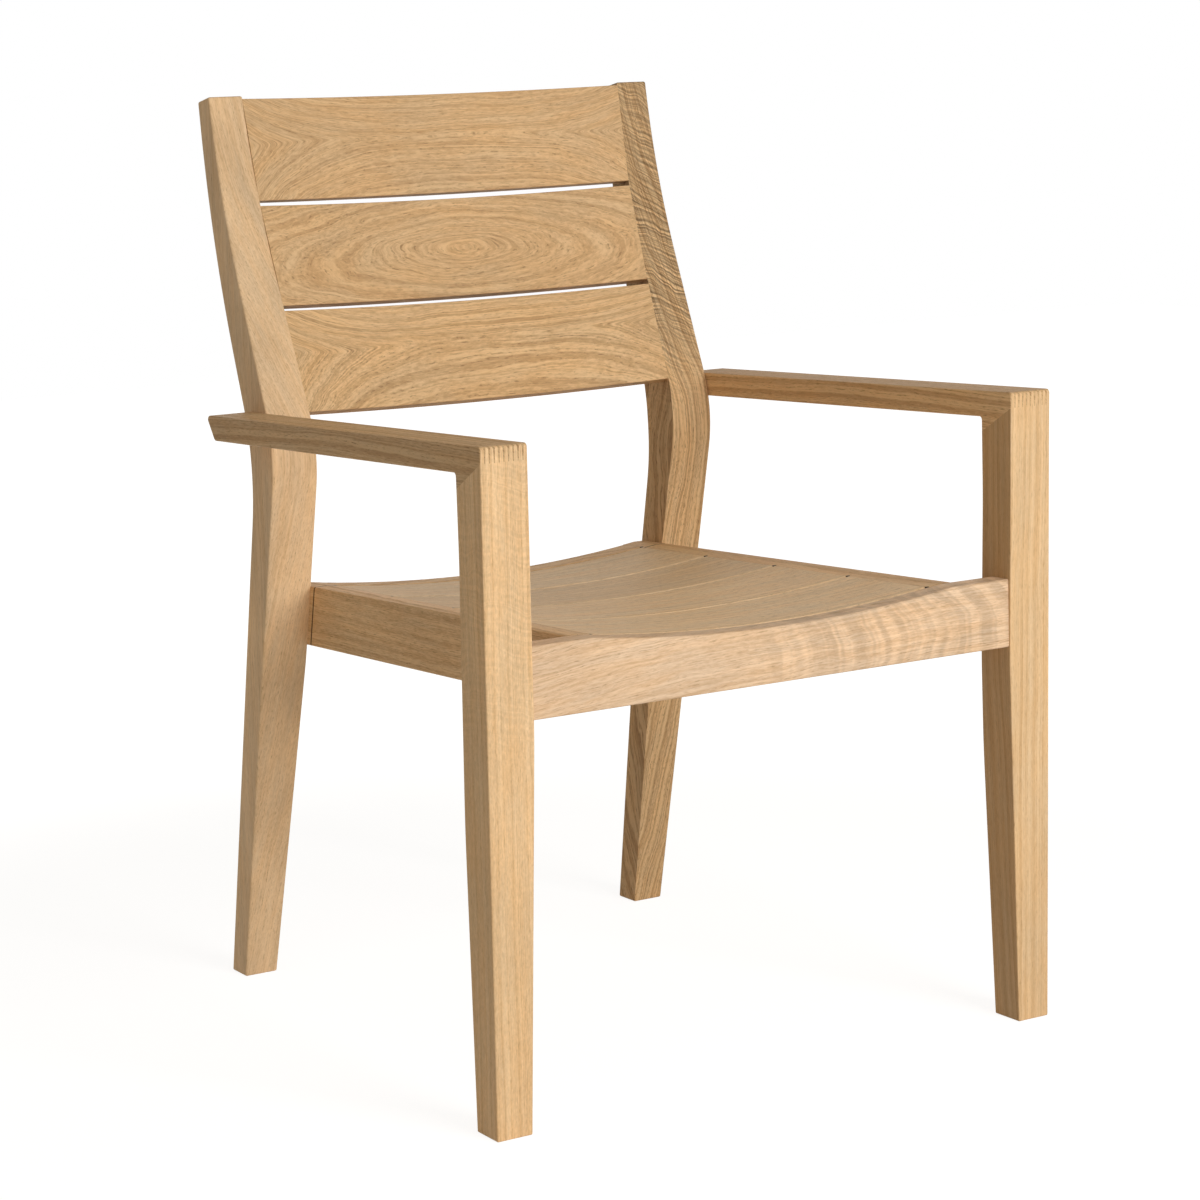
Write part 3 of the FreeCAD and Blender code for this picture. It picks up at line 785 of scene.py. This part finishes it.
@dataclass
class Arms:
    """The two arms, whose ends show as fingers on the front of the legs."""

    wood: SandedWood
    line_spacing: float = 0.0065
    depth_rise: float = 1.1
    left_light: float = 0.87

    def dress(self) -> None:
        """Dress both arms."""
        arches = Figure(self.line_spacing, bend=0.10, slope=0.01, depth=self.depth_rise)
        # side and top are painted shade on the arms' sides and tops.
        left = Cut(Grain.TO_REAR, arches, BUFF.times(self.left_light), log=3.0, lines=0.9, pores=0.7,
                   side=0.25, top=0.2)
        self.wood.dress("arm_left", left)
        self.wood.dress("arm_right", replace(left, tone=BUFF, log=4.0, side=0.0, top=0.6))


@dataclass
class RearPosts:
    """The two rear posts: the left one plain and rosy, the right one curly in its upper half."""

    wood: SandedWood
    line_spacing: float = 0.0060
    curly_spacing: float = 0.0042
    right_light: float = 0.96

    def dress(self) -> None:
        """Dress both posts."""
        straight = Figure(self.line_spacing, slope=0.02, depth=0.8)
        left = Cut(Grain.UP_FRONT, straight, ROSY, log=5.0, wander=0.005, lines=0.5, pores=0.35, mottle=0.6)
        curl = Curl(strength=0.36, bars=330.0, slant=0.50, start=0.08, end=0.24, shade=0.28)
        arches = Figure(self.curly_spacing, bend=0.10, slope=0.03)
        # side is painted shade on the right post's sides.
        right = Cut(Grain.UP_FRONT, arches, BROWN.times(self.right_light), log=6.0, wander=0.012,
                    lines=1.6, pores=0.9, side=0.45, curl=curl)
        self.wood.dress("rear_post_left", left)
        self.wood.dress("rear_post_right", right)


@dataclass
class BackRest:
    """Three bowed slats: flames on the upper and lower ones, an eye on the middle one.

    The lower one's spacing and rise are shares of the upper one's.
    """

    wood: SandedWood
    half_length: float = 0.221
    line_spacing: float = 0.0048
    flame_rise: float = 0.034
    low_spacing: float = 1.1
    low_rise: float = 0.8
    eye_oval: float = 0.27
    light: float = 0.94
    # The share of painted shade on the slats' undersides.
    under: float = 0.75

    def dress(self) -> None:
        """Dress the slats from the top down."""
        flames = Figure.flames(self.line_spacing, self.flame_rise, self.half_length, lean=0.15)
        top = Cut(Grain.ACROSS_UP, flames, BUFF.times(self.light), log=7.0, wander=0.009, lines=0.6,
                  pores=0.55, under=self.under, centre=(0.015, 0.006, 0.0))
        self.wood.dress("back_slat_1", top)
        eye = Figure.eye(self.line_spacing, self.eye_oval)
        middle = replace(top, figure=eye, log=8.0, wander=0.018, lines=0.55, centre=(0.012, 0.0, 0.0))
        self.wood.dress("back_slat_2", middle)
        flames = Figure.flames(self.line_spacing * self.low_spacing, self.flame_rise * self.low_rise,
                               self.half_length, lean=0.25)
        low = replace(top, figure=flames, tone=BROWN, log=9.0, centre=(0.03, 0.012, 0.0))
        self.wood.dress("back_slat_3", low)


@dataclass
class SeatFrame:
    """The dished front apron, the side rails and the rear rail."""

    wood: SandedWood
    line_spacing: float = 0.0060
    apron_light: float = 0.93
    seam_inset: float = 0.0362
    seam_slope: float = 0.234
    # Width of the painted shadow line where each side rail meets its rear post.
    seam_shadow_width: float = 0.0014
    # Size of the painted shadow spots at the gap ends.
    gap_shadow_radius: float = 0.0030

    def dress(self) -> None:
        """Dress the apron and the rails."""
        arches = Figure(self.line_spacing, bend=0.10, slope=-0.05)
        quilt = Curl(strength=0.13, bars=62.0, slant=0.4, start=-0.06, end=0.05, shade=0.03, bow=16.0)
        apron = Cut(Grain.ACROSS_UP, arches, BLOND.times(self.apron_light), log=10.0, wander=0.010,
                    lines=0.7, pores=0.4, curl=quilt)
        # A painted shadow line where each side rail meets its rear post.
        low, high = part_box("side_rail_left")
        seam = SeamShadow((high[1] - low[1]) / 2 - self.seam_inset, -self.seam_slope, self.seam_shadow_width)
        straight = Figure(self.line_spacing, slope=0.02)
        self.wood.dress("front_apron", apron)
        for log, name in ((11.0, "side_rail_left"), (12.0, "side_rail_right")):
            rail = Cut(Grain.TO_REAR_UP, straight, BUFF, log, lines=0.6, seam=seam,
                       gap_end_shadows=self.find_gap_end_shadows(name))
            self.wood.dress(name, rail)
        self.wood.dress("rear_seat_rail", replace(apron, log=13.0, curl=None, tone=BUFF))

    def find_gap_end_shadows(self, name: str) -> GapEndShadows:
        """Find where the gaps in front of the boards end on a side rail, for the painted shadow spots
        there.

        Args:
            name: the rail's node.

        Returns:
            The painted shadow spots at the gap ends, in the rail's own place: along it, up it and into it.
        """
        low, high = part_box(name)
        apron_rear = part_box("front_apron")[1][1]
        first_low, first_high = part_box("seat_board_1")
        second_low, second_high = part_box("seat_board_2")
        pitch = second_low[1] - first_low[1]
        slope = (second_high[2] - first_high[2]) / pitch
        inner = low[0] if low[0] > 0 else high[0]
        middle = middle_of(name)
        first = ((apron_rear + first_low[1]) / 2 - middle.y, first_high[2] - middle.z, inner - middle.x)
        return GapEndShadows(first, pitch, slope, self.gap_shadow_radius)


@dataclass
class SeatBoards:
    """Four dished boards, each from its own plank."""

    wood: SandedWood
    line_spacing: float = 0.0080
    lights: tuple = (1.10, 1.10, 0.96, 1.05)
    bends: tuple = (-0.15, 0.12, -0.15, 0.12)
    first_log: float = 14.0

    def dress(self) -> None:
        """Dress the boards from the front to the back."""
        for number, (light, bend) in enumerate(zip(self.lights, self.bends)):
            arches = Figure(self.line_spacing, bend=bend, slope=0.015)
            cut = Cut(Grain.ACROSS_FLAT, arches, SANDY.times(light), self.first_log + number, wander=0.006,
                      lines=0.6, pores=0.55, fleck=0.3)
            self.wood.dress("seat_board_%d" % (number + 1), cut)


@dataclass
class Dowels:
    """Fluted dowels inside the joints, which take the places of the plain CAD ones.

    Four outlines make a dowel: one at each end, where it is narrower, and one a chamfer in from
    there, where it is full.
    """

    wood: SandedWood
    flutes: int = 18
    flute_share: float = 0.92
    chamfer: float = 0.001
    outlines: int = 4
    end_share: float = 0.84
    loose_fit: float = 0.995
    line_spacing: float = 0.004
    log: float = 20.0
    groups: tuple = ("apron_dowels", "side_rail_dowels", "rear_post_dowels", "rear_rail_dowels",
                     "seat_board_dowels", "back_slat_dowels", "arm_dowels")

    def build(self) -> None:
        """Build one mesh of fluted dowels for each CAD group."""
        tree = self.tree()
        for name in self.groups:
            self.build_group(name, tree)

    def build_group(self, name: str, tree: Tree) -> None:
        """Build the dowels of one group where its CAD node has them.

        Args:
            name: the CAD node.
            tree: the geometry tree that draws a dowel on each point.
        """
        places, axes, length, radius = self.measure(name)
        holder = self.points(name, places, axes)
        cut = Cut(Grain.ACROSS_UP, Figure(self.line_spacing), BUFF, self.log)
        values = {"Length": length, "Radius": radius, "Flutes": self.flutes,
                  "Flute Share": self.flute_share, "Chamfer": self.chamfer,
                  "Wood": self.wood.material(name, cut, middle_of(name))}
        modifier = holder.modifiers.new("fluted", "NODES")
        modifier.node_group = tree
        for item in tree.interface.items_tree:
            if item.in_out == "INPUT" and item.name in values:
                modifier[item.identifier] = values[item.name]
        mesh = bpy.data.meshes.new_from_object(holder.evaluated_get(bpy.context.evaluated_depsgraph_get()))
        bpy.data.objects.remove(holder)
        turn_faces_out(mesh)
        piece = bpy.data.objects.new("fluted_" + name, mesh)
        bpy.context.scene.collection.objects.link(piece)
        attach(piece, BODY)
        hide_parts(name)
        LOG.info("built %s: %d dowels", piece.name, len(places))

    def points(self, name: str, places: list, axes: list) -> bpy.types.Object:
        """Make an object of bare points that know which way their dowels lie.

        Args:
            name: the CAD node.
            places: the dowels' middles.
            axes: the dowels' axes.

        Returns:
            The object, which is in the scene.
        """
        points = bpy.data.meshes.new(name + "_points")
        points.from_pydata([tuple(place) for place in places], [], [])
        store = points.attributes.new("axis", "FLOAT_VECTOR", "POINT")
        store.data.foreach_set("vector", [part for axis in axes for part in axis])
        holder = bpy.data.objects.new(name + "_points", points)
        bpy.context.scene.collection.objects.link(holder)
        return holder

    def measure(self, name: str) -> tuple:
        """Find the dowels in a CAD node.

        Args:
            name: the CAD node.

        Returns:
            Their middles, their axes, and the length and radius that they share.
        """
        middles, axes, lengths, radii = [], [], [], []
        for corners in loose_parts(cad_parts[name].data):
            middle = (corners.min(axis=0) + corners.max(axis=0)) / 2
            axis = numpy.linalg.eigh(numpy.cov((corners - middle).T))[1][:, -1]
            along = (corners - middle) @ axis
            aside = numpy.linalg.norm(corners - middle - numpy.outer(along, axis), axis=1)
            middles.append(middle)
            axes.append(axis)
            lengths.append(along.max() - along.min())
            radii.append(aside.max())
        return middles, axes, float(min(lengths)), float(min(radii)) * self.loose_fit

    def tree(self) -> Tree:
        """Build the geometry tree.

        Returns:
            The tree, which draws a fluted dowel on each point.
        """
        inputs = {"Points": GEOMETRY, "Flutes": INTEGER, "Wood": MATERIAL,
                  **floats("Length", "Radius", "Flute Share", "Chamfer")}
        graph, given = open_group("fluted_dowels", inputs, {"Dowels": GEOMETRY}, "GeometryNodeTree")
        index = graph.add("GeometryNodeInputIndex").outputs[0]
        step = graph.math("SUBTRACT", index, (self.outlines - 1) / 2)
        inner = graph.math("LESS_THAN", graph.math("ABSOLUTE", step), 1.0)
        reach = graph.math("SUBTRACT", graph.math("MULTIPLY", given["Length"], 0.5),
                           graph.math("MULTIPLY", inner, given["Chamfer"]))
        place = graph.joined(0.0, 0.0, graph.math("MULTIPLY", graph.math("SIGN", step), reach))
        line = graph.add("GeometryNodeMeshLine", {"Count": self.outlines}).outputs[0]
        line = graph.add("GeometryNodeSetPosition", {"Geometry": line, "Position": place}).outputs[0]
        curve = graph.add("GeometryNodeMeshToCurve", {"Mesh": line}).outputs[0]
        width = graph.math("MULTIPLY_ADD", inner, 1.0 - self.end_share, self.end_share)
        curve = graph.add("GeometryNodeSetCurveRadius", {"Curve": curve, "Radius": width}).outputs[0]
        star = graph.add("GeometryNodeCurveStar", {
            "Points": given["Flutes"], "Outer Radius": given["Radius"],
            "Inner Radius": graph.math("MULTIPLY", given["Radius"], given["Flute Share"]),
        }).outputs[0]
        dowel = graph.add("GeometryNodeCurveToMesh", {"Curve": curve, "Profile Curve": star,
                                                      "Fill Caps": True})
        axis = graph.add("GeometryNodeInputNamedAttribute", {"Name": "axis"}, data_type="FLOAT_VECTOR")
        turn = graph.add("FunctionNodeAlignRotationToVector", {"Vector": axis.outputs[0]}, axis="Z")
        placed = graph.add("GeometryNodeInstanceOnPoints", {
            "Points": given["Points"], "Instance": dowel.outputs[0], "Rotation": turn.outputs[0],
        }).outputs[0]
        solid = graph.add("GeometryNodeRealizeInstances", {"Geometry": placed}).outputs[0]
        dressed = graph.add("GeometryNodeSetMaterial", {"Geometry": solid, "Material": given["Wood"]})
        return graph.put_out({"Dowels": dressed.outputs[0]})


def loose_parts(mesh: bpy.types.Mesh, same_place: float = 1e-6) -> list:
    """Find the corners of each separate part of a mesh.

    Args:
        mesh: a mesh whose triangles may be loose; it isn't changed.
        same_place: how near two corners are when they count as one.

    Returns:
        One array of corners for each part.
    """
    work = bmesh.new()
    work.from_mesh(mesh)
    bmesh.ops.remove_doubles(work, verts=work.verts, dist=same_place)
    parts, seen = [], set()
    for start in work.verts:
        if start in seen:
            continue
        seen.add(start)
        part, queue = [], [start]
        while queue:
            corner = queue.pop()
            part.append(tuple(corner.co))
            near = [edge.other_vert(corner) for edge in corner.link_edges]
            queue.extend(other for other in near if other not in seen)
            seen.update(near)
        parts.append(numpy.array(part))
    work.free()
    return parts


def turn_faces_out(mesh: bpy.types.Mesh) -> None:
    """Make every face of a closed mesh look outwards.

    Args:
        mesh: the mesh to change.
    """
    work = bmesh.new()
    work.from_mesh(mesh)
    bmesh.ops.recalc_face_normals(work, faces=work.faces)
    work.to_mesh(mesh)
    work.free()


# ---------- studio
@dataclass
class Studio:
    """A white floor and soft lamps: a large key in front of the chair and a weak fill on its left."""

    floor_size: float = 14.0
    floor_paint: tuple = (0.9, 0.9, 0.9, 1.0)
    glow_near: float = 0.875
    glow_range: tuple = (0.8, 1.7)
    shadow_paint: tuple = (0.32, 0.32, 0.32, 1.0)
    white: tuple = (1.0, 1.0, 1.0, 1.0)
    aim: tuple = (0.0, 0.0, 0.45)
    key_place: tuple = (0.55, -3.25, 1.35)
    key_size: float = 1.5
    key_power: float = 62.0
    fill_place: tuple = (-2.6, -1.4, 1.6)
    fill_size: float = 1.8
    fill_power: float = 1.2
    world: float = 0.30
    world_colour: tuple = (1.0, 0.91, 0.77, 1.0)

    def build(self) -> None:
        """Make the floor, the world and the lamps."""
        self.make_floor()
        self.make_world()
        self.hang_lamp("key", self.key_place, self.key_size, self.key_power)
        self.hang_lamp("fill", self.fill_place, self.fill_size, self.fill_power)

    def seen(self, graph: Graph) -> Socket:
        """Tell the rays that show the background from those that light the chair.

        Args:
            graph: the graph of the floor or the world.

        Returns:
            1 for camera, glossy and transmission rays, and 0 for the others.
        """
        rays = graph.add("ShaderNodeLightPath").outputs
        seen = graph.math("MAXIMUM", rays["Is Camera Ray"], rays["Is Glossy Ray"])
        return graph.math("MAXIMUM", seen, rays["Is Transmission Ray"])

    def make_floor(self) -> None:
        """Lay a white floor that keeps a faint shadow near the chair."""
        half = self.floor_size / 2
        mesh = bpy.data.meshes.new("floor")
        corners = [(-half, -half, 0), (half, -half, 0), (half, half, 0), (-half, half, 0)]
        mesh.from_pydata(corners, [], [(0, 1, 2, 3)])
        mesh.materials.append(self.floor_material())
        floor = bpy.data.objects.new("floor", mesh)
        bpy.context.scene.collection.objects.link(floor)
        LOG.info("laid the floor")

    def floor_material(self) -> bpy.types.Material:
        """Make the floor's paint, which glows for the camera, fully so away from the chair.

        Returns:
            The new material.
        """
        material = bpy.data.materials.new("floor")
        material.use_nodes = True
        graph = Graph(material.node_tree)
        away = graph.length(graph.add("ShaderNodeTexCoord").outputs["Object"])
        strength = graph.math("MULTIPLY_ADD", graph.spread(away, *self.glow_range), 1.0 - self.glow_near,
                              self.glow_near)
        glow = graph.add("ShaderNodeEmission", {"Color": self.white, "Strength": strength})
        shadow = graph.add("ShaderNodeBsdfDiffuse", {"Color": self.shadow_paint})
        shown = graph.add("ShaderNodeAddShader", {0: glow.outputs[0], 1: shadow.outputs[0]})
        paint = graph.add("ShaderNodeBsdfDiffuse", {"Color": self.floor_paint})
        sides = {0: self.seen(graph), 1: paint.outputs[0], 2: shown.outputs[0]}
        mix = graph.add("ShaderNodeMixShader", sides)
        graph.add("ShaderNodeOutputMaterial", {"Surface": mix.outputs[0]})
        return material

    def make_world(self) -> None:
        """Fill the room with soft warm light and show white to the camera."""
        world = bpy.data.worlds.new("studio")
        world.use_nodes = True
        bpy.context.scene.world = world
        graph = Graph(world.node_tree)
        warm = graph.add("ShaderNodeBackground", {"Color": self.world_colour, "Strength": self.world})
        white = graph.add("ShaderNodeBackground", {"Color": self.white, "Strength": 1.0})
        sides = {0: self.seen(graph), 1: warm.outputs[0], 2: white.outputs[0]}
        mix = graph.add("ShaderNodeMixShader", sides)
        graph.add("ShaderNodeOutputWorld", {"Surface": mix.outputs[0]})

    def hang_lamp(self, name: str, place: tuple, size: float, power: float) -> None:
        """Hang one square area lamp that points at the chair's middle.

        Args:
            name: the lamp's name.
            place: where it hangs.
            size: its side.
            power: its power in watts.
        """
        light = bpy.data.lights.new(name, "AREA")
        light.size = size
        light.energy = power
        lamp = bpy.data.objects.new(name, light)
        lamp.location = place
        aim = Vector(self.aim) - Vector(place)
        lamp.rotation_euler = aim.to_track_quat("-Z", "Y").to_euler()
        bpy.context.scene.collection.objects.link(lamp)


@dataclass
class Viewpoint:
    """A long lens in front of the chair, to its left and a little above its arms."""

    place: tuple = (-1.5386, -2.4679, 0.87465)
    yaw: float = 0.5095
    pitch: float = 0.1647
    roll: float = -0.0415
    lens: float = 90.17
    sensor: float = 36.0
    shift: tuple = (0.125, 0.0142)

    def build(self) -> None:
        """Make the camera and hand it to the scene."""
        data = bpy.data.cameras.new("camera")
        data.lens = self.lens
        data.sensor_width = self.sensor
        data.shift_x, data.shift_y = self.shift
        camera = bpy.data.objects.new("camera", data)
        bpy.context.scene.collection.objects.link(camera)
        level = math.cos(self.pitch)
        ahead = Vector((math.sin(self.yaw) * level, math.cos(self.yaw) * level, -math.sin(self.pitch)))
        right = Vector((math.cos(self.yaw), -math.sin(self.yaw), 0))
        up = right.cross(ahead)
        turned_right = math.cos(self.roll) * right + math.sin(self.roll) * up
        turned_up = -math.sin(self.roll) * right + math.cos(self.roll) * up
        turn = Matrix((turned_right, turned_up, -ahead)).transposed().to_4x4()
        camera.matrix_world = Matrix.Translation(self.place) @ turn
        bpy.context.scene.camera = camera
        bpy.context.scene.view_settings.view_transform = "Standard"


def main() -> None:
    """Dress the chair, build its dowels, light it and place the camera."""
    logging.basicConfig(level=logging.INFO, format="%(name)s: %(message)s")
    wood = SandedWood()
    for assembly in (FrontLegs, Arms, RearPosts, BackRest, SeatFrame, SeatBoards):
        assembly(wood).dress()
    Dowels(wood).build()
    Studio().build()
    Viewpoint().build()


if __name__ == "__main__":
    main()
